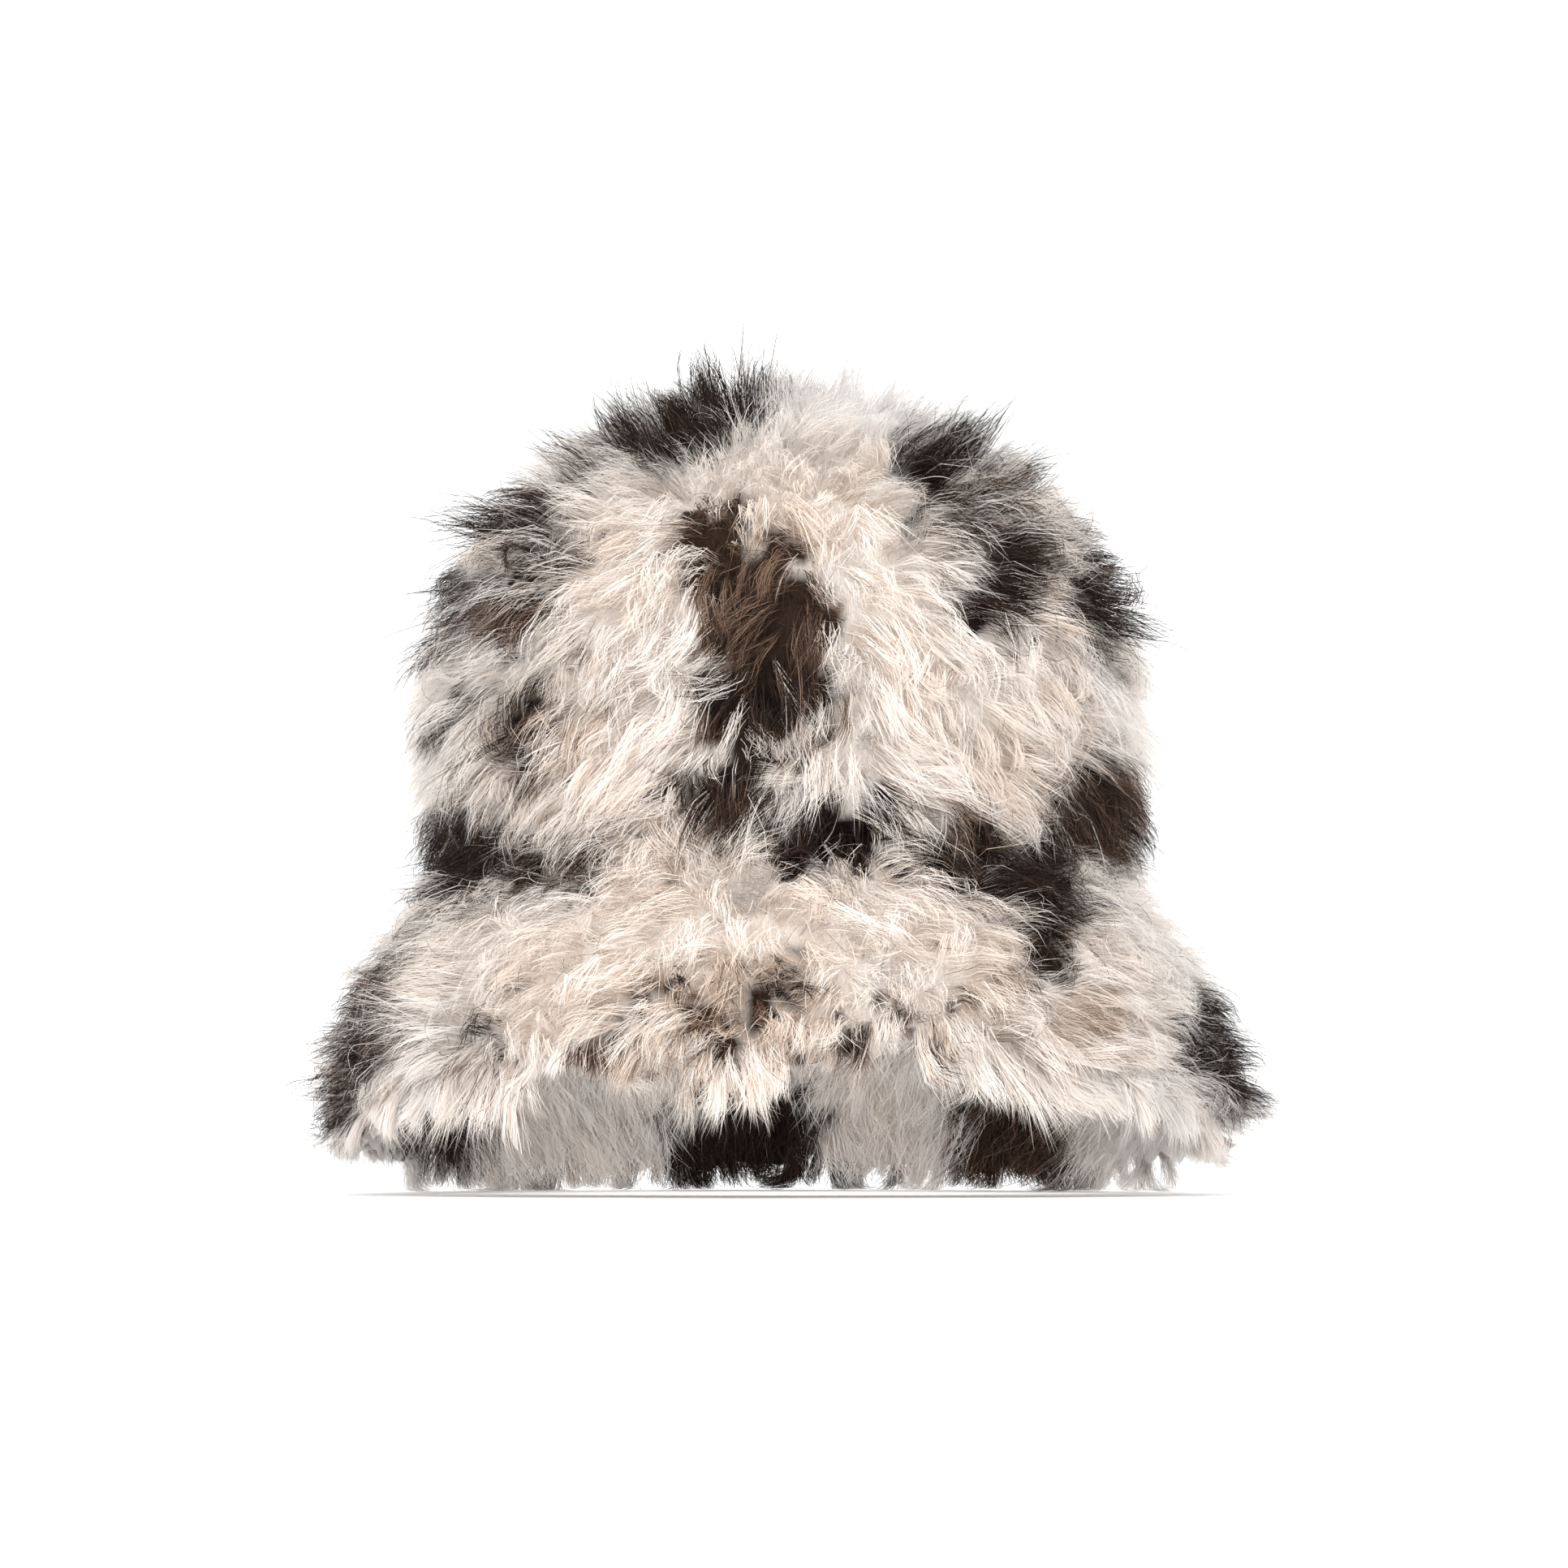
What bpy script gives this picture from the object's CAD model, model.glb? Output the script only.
"""Dresses a bucket hat in deep faux fur: thousands of combed, clumped strands over the crown and brim.

Sizes in the tables are in millimetres and degrees. The front of the hat faces -Y.
"""

import math
from collections import namedtuple

import bmesh
import bpy
import numpy as np
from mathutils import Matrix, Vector
from mathutils.kdtree import KDTree


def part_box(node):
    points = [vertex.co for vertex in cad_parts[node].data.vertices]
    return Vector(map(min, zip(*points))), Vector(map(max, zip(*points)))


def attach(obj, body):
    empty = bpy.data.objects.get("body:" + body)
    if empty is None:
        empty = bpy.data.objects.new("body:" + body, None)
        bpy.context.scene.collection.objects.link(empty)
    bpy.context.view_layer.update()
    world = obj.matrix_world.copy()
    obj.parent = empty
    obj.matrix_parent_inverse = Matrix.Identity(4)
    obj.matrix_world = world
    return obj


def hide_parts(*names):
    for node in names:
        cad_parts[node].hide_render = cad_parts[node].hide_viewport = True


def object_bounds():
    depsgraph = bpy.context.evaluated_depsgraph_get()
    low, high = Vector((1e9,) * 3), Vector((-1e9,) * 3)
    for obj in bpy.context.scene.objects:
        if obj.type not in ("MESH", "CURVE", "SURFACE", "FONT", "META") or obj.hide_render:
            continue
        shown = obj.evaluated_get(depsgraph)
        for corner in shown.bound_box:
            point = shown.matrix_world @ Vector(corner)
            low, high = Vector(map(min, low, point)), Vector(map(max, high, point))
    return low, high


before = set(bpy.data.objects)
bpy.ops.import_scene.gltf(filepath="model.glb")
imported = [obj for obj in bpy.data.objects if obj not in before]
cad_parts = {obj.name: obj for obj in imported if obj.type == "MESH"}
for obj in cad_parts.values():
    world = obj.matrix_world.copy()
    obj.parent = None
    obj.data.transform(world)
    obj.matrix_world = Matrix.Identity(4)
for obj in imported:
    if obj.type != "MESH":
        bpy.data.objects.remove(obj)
CAD_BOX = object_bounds()

bl_info = {
    "name": "Faux Fur Bucket Hat",
    "version": (1, 0, 0),
    "blender": (4, 5, 0),
    "location": "3D View > Sidebar > Fur Hat",
    "description": "Grows the spotted pile of a bucket hat and sets up a pale studio",
    "category": "Object",
}

MM = 0.001
MERGE = 0.00001
TURN = 2.0 * math.pi
DOWN = np.array([0.0, 0.0, -1.0])

# How the pile of each surface grows: strands in its front and back halves, the height of the undercoat that
# they come out of and how far its hem hangs, their length (low_length near the floor), how far they lean from
# upright at root and tip, on the sides and on the top, and how they droop, gather, curl and stray.
Coat = namedtuple(
    "Coat",
    "front back under hem length low_length root tip top_root top_tip droop outward tight curl loose seed",
)
CROWN_COAT = Coat(47000, 28000, 12.5, 3.0, 30.0, 29.0, 22.0, 104.0, 5.0, 58.0, 0.12, 0.6, 0.68, 58.0, 1.0, 23)
BRIM_COAT = Coat(32000, 20000, 9.0, 4.5, 26.0, 24.0, 22.0, 98.0, 22.0, 98.0, 0.15, 0.6, 0.66, 58.0, 1.0, 37)
UNDER_COAT = Coat(3500, 23000, 4.0, 4.5, 22.0, 27.0, 20.0, 80.0, 20.0, 80.0, 0.4, 0.45, 0.2, 40.0, 1.5, 41)
FRINGE_COAT = Coat(10500, 13500, 1.0, 0.0, 28.0, 28.0, 0.0, 60.0, 0.0, 60.0, 0.3, 0.45, 0.42, 72.0, 1.4, 53)

# Locks that stand out in the front view: those rooted within radius of a place point their own way (clockwise
# from up) and are dark (1) or pale (0). Hundredths say how much longer, how tight and how upright they are.
Accent = namedtuple("Accent", "across height radius heading longer tight lift dark")
ACCENTS = (
    (-54, 209, 5, -55, 120, 90, 40, 1),
    (-42, 216, 5, -40, 125, 90, 60, 1),
    (-31, 220, 4, -30, 135, 95, 80, 1),
    (-21, 223, 4, -10, 145, 97, 90, 1),
    (-11, 224, 4, 12, 130, 97, 90, 1),
    (1, 224, 5, -18, 140, 90, 95, 0),
    (13, 223, 5, 22, 150, 85, 95, 0),
    (26, 221, 5, 38, 135, 80, 80, 0),
    (37, 217, 4, 45, 130, 90, 70, 0),
    (49, 211, 4, 40, 160, 98, 80, 1),
    (61, 203, 4, 58, 115, 90, 40, 1),
    (-74, 192, 5, -66, 150, 90, 50, 1),
    (-87, 174, 5, -95, 145, 95, 50, 1),
    (-90, 165, 4, -110, 125, 95, 40, 1),
    (82, 183, 5, 62, 120, 90, 40, 1),
    (91, 167, 5, 100, 120, 95, 40, 1),
    (93, 112, 5, 130, 125, 95, 40, 1),
    (-95, 130, 5, -135, 125, 95, 40, 0),
    (95, 140, 5, 125, 130, 95, 40, 0),
    (-5, 133, 5, 170, 62, 20, 30, 0),
    (60, 84, 6, 165, 120, 60, 30, 0),
    (113, 54, 5, 108, 130, 97, 40, 1),
    (-30, 60, 3, 146, 100, 97, 15, 1),
    (-6, 60, 4, 155, 100, 90, 15, 1),
    (4, 57, 3, 130, 100, 97, 15, 1),
    (14, 47, 3, 120, 100, 97, 15, 1),
    (-87, 50, 3, 168, 100, 97, 15, 1),
    (54, 50, 3, 165, 90, 90, 15, 1),
    (120, 40, 5, 112, 135, 98, 50, 1),
    (125, 28, 5, 122, 130, 98, 40, 1),
    (-120, 42, 5, -115, 125, 95, 40, 1),
    (-125, 29, 5, -125, 120, 95, 40, 1),
)
# The most locks that follow one accent, drawn by lot, and how far behind the middle they may stand.
ACCENT_LOCKS = 4
ACCENT_BEHIND = 20.0

# Where the pile at the front rim is shorter: across, half width and the share of the length that is lost.
NOTCHES = (
    (-61, 10, 0.55),
    (9, 9, 0.4),
    (31, 8, 0.55),
    (-122, 8, 0.3),
)
# The notches end at this height and at the hat's middle, over these distances.
NOTCH_TOP = 62.0
NOTCH_FADE = 14.0
NOTCH_DEPTH = 30.0

# Strands gather into wisps, and wisps into locks, about this many millimetres wide.
WISP = 2.6
LOCK = 9.0
# How far down in the undercoat a strand starts, and where along it the undercoat takes its shade from.
ROOT_DEPTH = 2.5
UNDERCOAT_SHADE = 0.6
# At the front the pile swings apart over PARTING_WIDTH, by these degrees on the brim and these more on the
# crown, from PARTING_START up over PARTING_RISE.
PARTING_WIDTH = 45.0
BRIM_PARTING = 8.0
CROWN_PARTING = 30.0
PARTING_START = 60.0
PARTING_RISE = 40.0
# Below this height, over this distance, locks take their coat's low_length.
LOW_TOP = 40.0
LOW_FADE = 20.0
# How locks differ in length and tightness. Upright ones keep this share of their lean at the tip.
LOCK_LENGTHS = (0.82, 1.12)
TIGHT_SPREAD = 0.12
TIGHT_LIMITS = (0.1, 0.9)
UPRIGHT_LEAN = 0.2
# Hanging locks are cut to end between these heights, higher by SIDE_REST at the sides, but keep this share of
# their length. What is left under the floor is bent along it.
REST_HEIGHTS = (-15.0, -4.0)
SIDE_REST = 20.0
SHORTEST_LOCK = 0.35
# How wisps differ in lean, wave and length, and the share of them that has its full length.
WISP_LEAN = 0.19
WISP_WAVE = 1.5
WISP_LENGTHS = (0.68, 0.86)
LONG_WISPS = 0.08
# The share of strands that stray from their wisp, and how much each one leans and waves by itself.
STRAY_STRANDS = 0.12
STRAND_LEAN = 0.1
STRAND_WAVE = 0.5
# How far a ribbon is rolled about its length, in degrees.
ROLL = 50.0

# Where along a strand its points stand, and how wide it is there as a share of the full width.
STRAND_PLACES = (0.0, 0.4, 0.72, 1.0)
STRAND_WIDTHS = (0.9, 1.0, 0.7)
PATH_STEPS = 12
# Strands bend within FLOOR_SPREAD of the floor and stay FLOOR_GAP above it. They may stand out of the CAD box
# by REACH, and by nearly REACH_SPREAD more.
FLOOR_SPREAD = 2.5
FLOOR_GAP = 0.1
REACH = 9.0
REACH_SPREAD = 6.0

# Single curly hairs that stand out of the front and back halves, from STRAY_LIFT above the undercoat.
CROWN_STRAYS = (1900, 900)
BRIM_STRAYS = (1300, 700)
STRAY_LENGTHS = (10.0, 21.0)
STRAY_WIDTH = 0.00014
STRAY_LIFT = 3.0
STRAY_STEPS = 7
STRAY_TURN = 2.2

# The crown's tip panel starts at this height, and its seams are joined over gaps up to SEAM_JOIN.
TIP_SEAM_HEIGHT = 169.0
SEAM_JOIN = 1.6
# How finely the cloth's surface is divided and how often it is smoothed before pile grows on it.
SURFACE_CUTS = 4
SMOOTHINGS = 16
# The undercoat thins out over RIM_TAPER from the rim, to this share of its height. The rim is what lies lower
# than RIM_BAND over the mean height of a surface's free edges.
RIM_TAPER = 18.0
RIM_UNDER = 0.2
RIM_BAND = 10.0
# How much more pile grows at a free edge, for coats whose hem hangs lower than HANGING_HEM.
EDGE_EXTRA = 1.2
HANGING_HEM = 4.0

# Dark places in the pile, as the front view shows them on a plane through the hat's middle. lean turns them,
# brown takes them from near black to brown and solid is the share of dark hairs there, both in hundredths.
Spot = namedtuple("Spot", "across height half_width half_height lean brown solid", defaults=(100,))
FRONT_SPOTS = (
    (-37, 228, 21, 7, 14, 15),
    (-18, 240, 12, 8, 0, 10, 85),
    (-79, 205, 10, 4, 15, 10),
    (-88, 196, 14, 7, 10, 20, 50),
    (-72, 192, 5, 5, 0, 20),
    (-78, 181, 4, 8, 0, 30, 85),
    (-86, 169, 5, 6, -20, 50, 90),
    (-102, 182, 5, 5, -30, 10, 95),
    (-104, 168, 6, 9, 0, 20, 65),
    (-85, 142, 8, 2, 15, 20),
    (-79, 131, 8, 5, -10, 50),
    (-22, 196, 8, 7, -30, 80),
    (-12, 183, 15, 10, 0, 80),
    (-4, 166, 18, 17, 0, 65),
    (-7, 150, 17, 15, 0, 25),
    (-6, 137, 16, 6, 0, 60, 95),
    (-17, 114, 13, 7, 0, 30),
    (14, 107, 25, 7, -6, 10),
    (47, 219, 9, 13, -10, 5),
    (57, 232, 3, 6, -30, 0),
    (64, 203, 13, 15, 0, 30, 50),
    (69, 190, 11, 9, 0, 15, 95),
    (66, 176, 12, 8, 0, 20, 85),
    (96, 176, 8, 17, 15, 15, 85),
    (95, 112, 15, 13, -15, 45),
    (57, 102, 8, 9, -35, 60, 85),
    (74, 92, 18, 9, -20, 20),
    (79, 77, 7, 12, 0, 30, 95),
    (-97, 98, 11, 13, 0, 15),
    (-77, 96, 12, 4, 12, 40, 95),
    (-130, 44, 8, 27, -27, 30, 72),
    (-141, 22, 8, 9, 0, 20, 80),
    (-12, 55, 19, 9, 0, 120, 30),
    (-7, 53, 3, 5, 0, 70, 80),
    (-25, 50, 1, 5, 20, 90, 70),
    (6, 57, 3, 2, 0, 90, 55),
    (22, 41, 6, 1, 20, 50, 80),
    (-88, 45, 1, 4, 10, 60, 50),
    (-54, 38, 1, 2, 30, 60, 50),
    (43, 41, 11, 1, 0, 60, 40),
    (134, 42, 9, 18, 27, 5),
    (93, 50, 4, 7, -20, 100, 50),
)
# Where the pale pile is stained tan.
TAN_SPOTS = (
    (-12, 56, 22, 11, 0, 100, 80),
    (94, 50, 5, 6, -20, 100, 80),
    (-76, 138, 14, 9, 20, 100, 50),
    (-8, 192, 14, 12, 0, 100, 40),
    (40, 38, 16, 5, 0, 100, 60),
)
# Pale hairs hang over the rim of a spot by about this much.
OVERHANG = 3.2
# Dark places of the underside, seen through the arch of the brim.
UNDER_SPOTS = (
    (-100, 20, 13, 12, 0, 30, 90),
    (-11, 10, 19, 22, 0, 10),
    (66, 12, 15, 18, 0, 50, 95),
)
# Dark places of the sides and back, laid out flat: across is the way round from the middle of the back, at
# BACK_RADIUS from the hat's axis. Over BACK_FADE they take over from those of the front.
BACK_RADIUS = 110.0
BACK_FADE = 12.0
BACK_SPOTS = (
    (-20, 205, 34, 11, 12, 20, 95),
    (14, 216, 14, 14, 40, 20, 90),
    (66, 176, 13, 25, -20, 50, 95),
    (52, 156, 22, 9, -10, 80, 80),
    (-66, 160, 11, 27, 12, 30, 95),
    (-56, 136, 18, 8, 30, 70, 80),
    (-4, 148, 12, 16, -15, 60, 85),
    (16, 128, 26, 8, 8, 40, 95),
    (112, 146, 15, 13, 15, 30, 90),
    (-116, 134, 14, 15, -20, 30, 95),
    (-90, 112, 16, 7, 20, 60, 70),
    (108, 98, 18, 7, -15, 50, 80),
    (-128, 74, 10, 12, 10, 40, 85),
    (34, 78, 30, 9, -12, 30, 95),
    (58, 62, 12, 16, 10, 50, 85),
    (-44, 62, 12, 20, 25, 50, 90),
    (-66, 42, 20, 8, 10, 80, 60),
    (-140, 45, 22, 12, 0, 50, 70),
    (134, 52, 14, 20, 20, 20, 90),
    (6, 30, 22, 7, 5, 60, 70),
    (96, 32, 16, 7, -10, 60, 70),
)

# How far the floor reaches each way, in metres, the strength of the light all round, and the camera's sensor.
FLOOR_REACH = 4.0
AIR_LIGHT = 1.58
SENSOR_WIDTH = 36.0


# Settings


def colour_setting(name, default, description):
    """A colour."""
    return bpy.props.FloatVectorProperty(name=name, description=description, default=default, subtype="COLOR")


def length_setting(name, default, description, least=0.0):
    """A length in metres."""
    return bpy.props.FloatProperty(
        name=name, description=description, default=default, min=least, unit="LENGTH"
    )


class HatPile(bpy.types.PropertyGroup):
    """Sizes of the strands."""

    strand_width: length_setting("Strand width", 0.00023, "Width of a strand near its root", 0.0001)
    length_share: bpy.props.FloatProperty(
        name="Length", description="Length of the pile, 1 as made", default=1.0, min=0.3, max=1.2
    )
    density: bpy.props.FloatProperty(
        name="Density", description="Number of strands, 1 as made", default=1.0, min=0.05, max=1.0
    )


class HatColours(bpy.types.PropertyGroup):
    """Colours of the pile and the backing."""

    cream_tip: colour_setting("Cream tips", (0.93, 0.87, 0.82), "Pale pile at its tips")
    cream_root: colour_setting("Cream roots", (0.94, 0.85, 0.775), "Pale pile near the backing")
    tan: colour_setting("Tan flecks", (0.78, 0.66, 0.56), "Tan flecks in the pale pile")
    cool_tip: colour_setting("Cool tips", (0.90, 0.87, 0.85), "Greyer pale pile at its tips")
    black: colour_setting("Spot black", (0.016, 0.011, 0.010), "Darkest colour of the spots")
    brown: colour_setting("Spot brown", (0.075, 0.047, 0.034), "Brown of the spots' edges and undercoat")
    frizz: colour_setting("Frizz brown", (0.32, 0.21, 0.15), "Lighter brown of single hairs in the spots")
    knit: colour_setting("Knitted backing", (0.62, 0.54, 0.45), "Cloth inside the crown")


class HatStudio(bpy.types.PropertyGroup):
    """The camera and the room."""

    distance: length_setting("Camera distance", 1.6, "From the camera to the middle of the hat")
    eye_height: length_setting("Eye height", 0.015, "Height of the camera over the floor")
    aim_height: length_setting("Aim height", 0.121, "Height that the middle of the picture shows")
    view_width: length_setting("View width", 0.4637, "Width of the picture at the middle of the hat")
    white: colour_setting("Room", (0.93, 0.93, 0.93), "Floor and backdrop")


# Directions and smooth chance


def unit(vectors):
    """The vectors, each made one long."""
    return vectors / np.maximum(np.linalg.norm(vectors, axis=-1, keepdims=True), 1e-9)


def dot(a, b):
    """The dot product of each pair of vectors, as a column."""
    return (a * b).sum(-1, keepdims=True)


def ease(values):
    """0 up to 0, 1 from 1, and a smooth step between."""
    share = np.clip(values, 0.0, 1.0)
    return share * share * (3.0 - 2.0 * share)


def drift(points, wavelength, seed, waves=9):
    """A smooth random value, mostly between -1 and 1, at each point. wavelength is in millimetres."""
    dice = np.random.default_rng(seed)
    ways = unit(dice.normal(size=(waves, 3))) * dice.uniform(0.6, 1.5, (waves, 1))
    phases = dice.uniform(0.0, TURN, waves)
    turns = points @ ways.T * (TURN / (wavelength * MM)) + phases
    return np.sin(turns).sum(1) / math.sqrt(waves)


def hat_axis():
    """The point on the floor under the middle of the crown."""
    low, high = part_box("crown_tip_cloth")
    return np.array([(low.x + high.x) / 2.0, (low.y + high.y) / 2.0, 0.0])


def away_from_axis(points):
    """The level direction from the upright line through the crown's middle to each point."""
    away = points - hat_axis()
    away[:, 2] = 0.0
    return unit(away)


def search_tree(points):
    """A tree that finds the nearest of some points."""
    tree = KDTree(len(points))
    for index, point in enumerate(points):
        tree.insert(point, index)
    tree.balance()
    return tree


# Where the pile grows


def outer_surface(nodes, tilt, least):
    """The faces of some cloth panels that look outward, tilt degrees upward, as one fine open surface."""
    bm = bmesh.new()
    for node in nodes:
        bm.from_mesh(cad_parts[node].data)
    bmesh.ops.remove_doubles(bm, verts=bm.verts[:], dist=MERGE)
    bm.normal_update()
    side = math.cos(math.radians(tilt))
    up = Vector((0.0, 0.0, math.sin(math.radians(tilt))))
    axis = Vector(hat_axis())
    unseen = []
    for face in bm.faces:
        away = face.calc_center_median() - axis
        away.z = 0.0
        look = away.normalized() * side + up
        if face.normal.dot(look) < least:
            unseen.append(face)
    bmesh.ops.delete(bm, geom=unseen, context="FACES")
    if not bm.faces:
        raise RuntimeError("No face looks outward on " + ", ".join(nodes))
    bmesh.ops.remove_doubles(bm, verts=bm.verts[:], dist=SEAM_JOIN * MM)
    bmesh.ops.subdivide_edges(bm, edges=bm.edges[:], cuts=SURFACE_CUTS, use_grid_fill=True)
    inner = [vert for vert in bm.verts if not vert.is_boundary]
    for _ in range(SMOOTHINGS):
        bmesh.ops.smooth_vert(bm, verts=inner, factor=0.5, use_axis_x=True, use_axis_y=True, use_axis_z=True)
    bm.normal_update()
    return bm


class Ground:
    """A surface that pile grows from, as arrays.

    hem is how far the undercoat hangs below each place, and draws is each triangle's share of the strands.
    """

    def __init__(self, surface, coat):
        surface.verts.ensure_lookup_table()
        self.places = np.array([vert.co[:] for vert in surface.verts])
        self.normals = np.array([vert.normal[:] for vert in surface.verts])
        loops = surface.calc_loop_triangles()
        self.triangles = np.array([[loop.vert.index for loop in tri] for tri in loops])
        edge = self.places[[vert.is_boundary for vert in surface.verts]]
        rim = search_tree(edge[edge[:, 2] < edge[:, 2].mean() + RIM_BAND * MM])
        far = ease(np.array([rim.find(place)[2] for place in self.places]) / (RIM_TAPER * MM))
        lumps = 1.0 + 0.16 * drift(self.places, 22.0, coat.seed + 5)
        lumps = lumps + 0.12 * drift(self.places, 11.0, coat.seed + 6)
        self.heights = coat.under * MM * (RIM_UNDER + (1.0 - RIM_UNDER) * far) * lumps
        hang = (coat.hem + 0.6 * coat.hem * drift(self.places, 16.0, coat.seed + 7)) * MM
        self.hem = np.maximum(hang, 0.0) * (1.0 - far) ** 2
        corners = self.places[self.triangles]
        crosses = np.cross(corners[:, 1] - corners[:, 0], corners[:, 2] - corners[:, 0])
        areas = np.linalg.norm(crosses, axis=1) / 2.0
        near_rim = (1.0 - far)[self.triangles].mean(1)
        self.draws = areas * (1.0 + EDGE_EXTRA * near_rim * (coat.hem > HANGING_HEM))
        self.area = areas.sum()
        self.edge_length = sum(edge.calc_length() for edge in surface.edges if edge.is_boundary)

    def scattered(self, front, back, dice):
        """Points spread over both halves: places, normals, undercoat heights and if they are in front."""
        in_front = self.places[self.triangles].mean(1)[:, 1] < hat_axis()[1]
        draws = self.draws
        behind = ~in_front
        shares = np.where(in_front, front * draws / draws[in_front].sum(), back * draws / draws[behind].sum())
        count = front + back
        picks = dice.choice(len(draws), size=count, p=shares / shares.sum())
        a, b = dice.random((2, count))
        folded = a + b > 1.0
        a[folded], b[folded] = 1.0 - a[folded], 1.0 - b[folded]
        weights = np.stack((1.0 - a - b, a, b), 1)
        at = self.triangles[picks]
        places = (self.places[at] * weights[:, :, None]).sum(1)
        normals = unit((self.normals[at] * weights[:, :, None]).sum(1))
        heights = (self.heights[at] * weights).sum(1)
        return places, normals, heights, in_front[picks]


def average_by(owner, count, values):
    """The mean of the values that belong to each of count owners."""
    sizes = np.maximum(np.bincount(owner, minlength=count), 1)
    return np.stack([np.bincount(owner, values[:, i], count) / sizes for i in range(3)], 1)


def gathered(roots, ground, width, dice):
    """Gathers roots into groups about width millimetres across: each root's group, and their middles."""
    area = max(ground.area, ground.edge_length * width * MM / 2.0)
    count = int(area / (width * MM) ** 2)
    middles = roots[dice.choice(len(roots), count, replace=False)]
    for _ in range(2):
        tree = search_tree(middles)
        owner = np.array([tree.find(root)[1] for root in roots])
        middles = average_by(owner, count, roots)
    return owner, middles


def combed(points, normals, coat):
    """The way the pile lies at each point: down the nap, swept apart at the front and ruffled."""
    way = away_from_axis(points) * coat.outward + DOWN
    way = unit(way - normals * dot(way, normals))
    facing_front = np.clip(-away_from_axis(points)[:, 1], 0.0, 1.0)
    parting = np.clip(points[:, 0] / (PARTING_WIDTH * MM), -1.0, 1.0) * facing_front
    up_crown = ease((points[:, 2] / MM - PARTING_START) / PARTING_RISE)
    parting = parting * (BRIM_PARTING + CROWN_PARTING * up_crown)
    ruffle = drift(points, 60.0, 71) * 18.0 + drift(points, 26.0, 72) * 22.0
    ruffle = ruffle + np.random.default_rng(coat.seed).normal(0.0, 12.0, len(points))
    angle = np.radians(parting + ruffle)[:, None]
    return way * np.cos(angle) + np.cross(normals, way) * np.sin(angle)


def lock_paths(normals, style, coat, dice):
    """The bent middle line of each lock from its root, its heading at each step, and its side.

    A lock turns from the coat's root lean to its tip lean, curls sideways and droops.
    """
    count = len(normals)
    ways, upright = style.ways, style.upright
    sides = np.cross(normals, ways)
    curl = np.radians(dice.normal(0.0, coat.curl, (count, 1)))
    phase = dice.uniform(0.0, 1.0, (count, 1))
    topness = ease((normals[:, 2:] - 0.5) / 0.45)
    first = np.radians(coat.root + (coat.top_root - coat.root) * topness)
    last = np.radians(coat.tip + (coat.top_tip - coat.tip) * topness)
    last = last * dice.uniform(0.65, 1.3, (count, 1)) * (1.0 - (1.0 - UPRIGHT_LEAN) * upright)
    here = np.zeros((count, 3))
    places, headings = [here], []
    for step in range(PATH_STEPS):
        t = (step + 0.5) / PATH_STEPS
        lean = first + (last - first) * ease(t**0.9)
        turn = curl * np.sin(TURN * (0.6 * t + phase)) * (0.3 + t)
        way = ways * np.cos(turn) + sides * np.sin(turn)
        heading = unit(normals * np.cos(lean) + way * np.sin(lean) + DOWN * coat.droop * t)
        headings.append(heading)
        here = here + heading * style.lengths / PATH_STEPS
        places.append(here)
    headings.append(headings[-1])
    return np.stack(places, 1), np.stack(headings, 1), sides


def along_paths(values, owner, shares):
    """Reads the locks' step-by-step values at each strand's own shares of the way."""
    step = np.clip(shares * PATH_STEPS, 0.0, PATH_STEPS - 1e-6)
    low = step.astype(int)
    part = (step - low)[..., None]
    return values[owner[:, None], low] * (1.0 - part) + values[owner[:, None], low + 1] * part


def off_the_floor(points):
    """Bends what would go under the floor so that it lies over it, and what would stick out too far."""
    soft = FLOOR_SPREAD * MM
    height = points[..., 2]
    points[..., 2] = np.where(height < soft, soft * np.exp(height / soft - 1.0) + FLOOR_GAP * MM, height)
    for corner, outward in ((CAD_BOX[1], 1.0), (CAD_BOX[0], -1.0)):
        bound = np.array(corner) + outward * REACH * MM
        past = np.maximum((points - bound) * outward, 0.0) / (REACH_SPREAD * MM)
        points -= outward * (past - np.tanh(past)) * REACH_SPREAD * MM


LockStyle = namedtuple("LockStyle", "ways lengths tight upright told")


def styled_locks(middles, normals, coat, low, length_share, dice):
    """How each lock lies before it is bent: as its coat says, or as an accent near it says."""
    count = len(middles)
    ways = combed(middles, normals, coat)
    lowness = ease((LOW_TOP * MM - middles[:, 2:]) / (LOW_FADE * MM))
    lengths = (coat.length + (coat.low_length - coat.length) * lowness) * MM * length_share
    lengths = lengths * (dice.uniform(*LOCK_LENGTHS, (count, 1)) + 0.1 * drift(middles, 30.0, 77)[:, None])
    tight = np.clip(coat.tight + dice.normal(0.0, TIGHT_SPREAD, (count, 1)), *TIGHT_LIMITS)
    upright = np.zeros((count, 1))
    told = np.full(count, np.nan)
    across, height = front_view(middles)
    loss = sum(most * np.exp(-(((across - place) / half_width) ** 2)) for place, half_width, most in NOTCHES)
    at_rim = ease((NOTCH_TOP - middles[:, 2] / MM) / NOTCH_FADE) * ease(-middles[:, 1] / (NOTCH_DEPTH * MM))
    lengths = lengths * (1.0 - loss * at_rim)[:, None]
    for row in () if low else ACCENTS:
        accent = Accent(*row)
        near = np.hypot(across - accent.across, height - accent.height) < accent.radius
        near = np.flatnonzero(near & (middles[:, 1] < ACCENT_BEHIND * MM))
        near = dice.permutation(near)[:ACCENT_LOCKS]
        heading = math.radians(accent.heading)
        way = np.array([math.sin(heading), -0.2, math.cos(heading)]) + np.zeros((len(near), 3))
        ways[near] = unit(way - normals[near] * dot(way, normals[near]))
        lengths[near] *= accent.longer / 100
        tight[near] = accent.tight / 100
        upright[near] = accent.lift / 100
        told[near] = accent.dark
    return LockStyle(ways, lengths, tight, upright, told)


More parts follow.
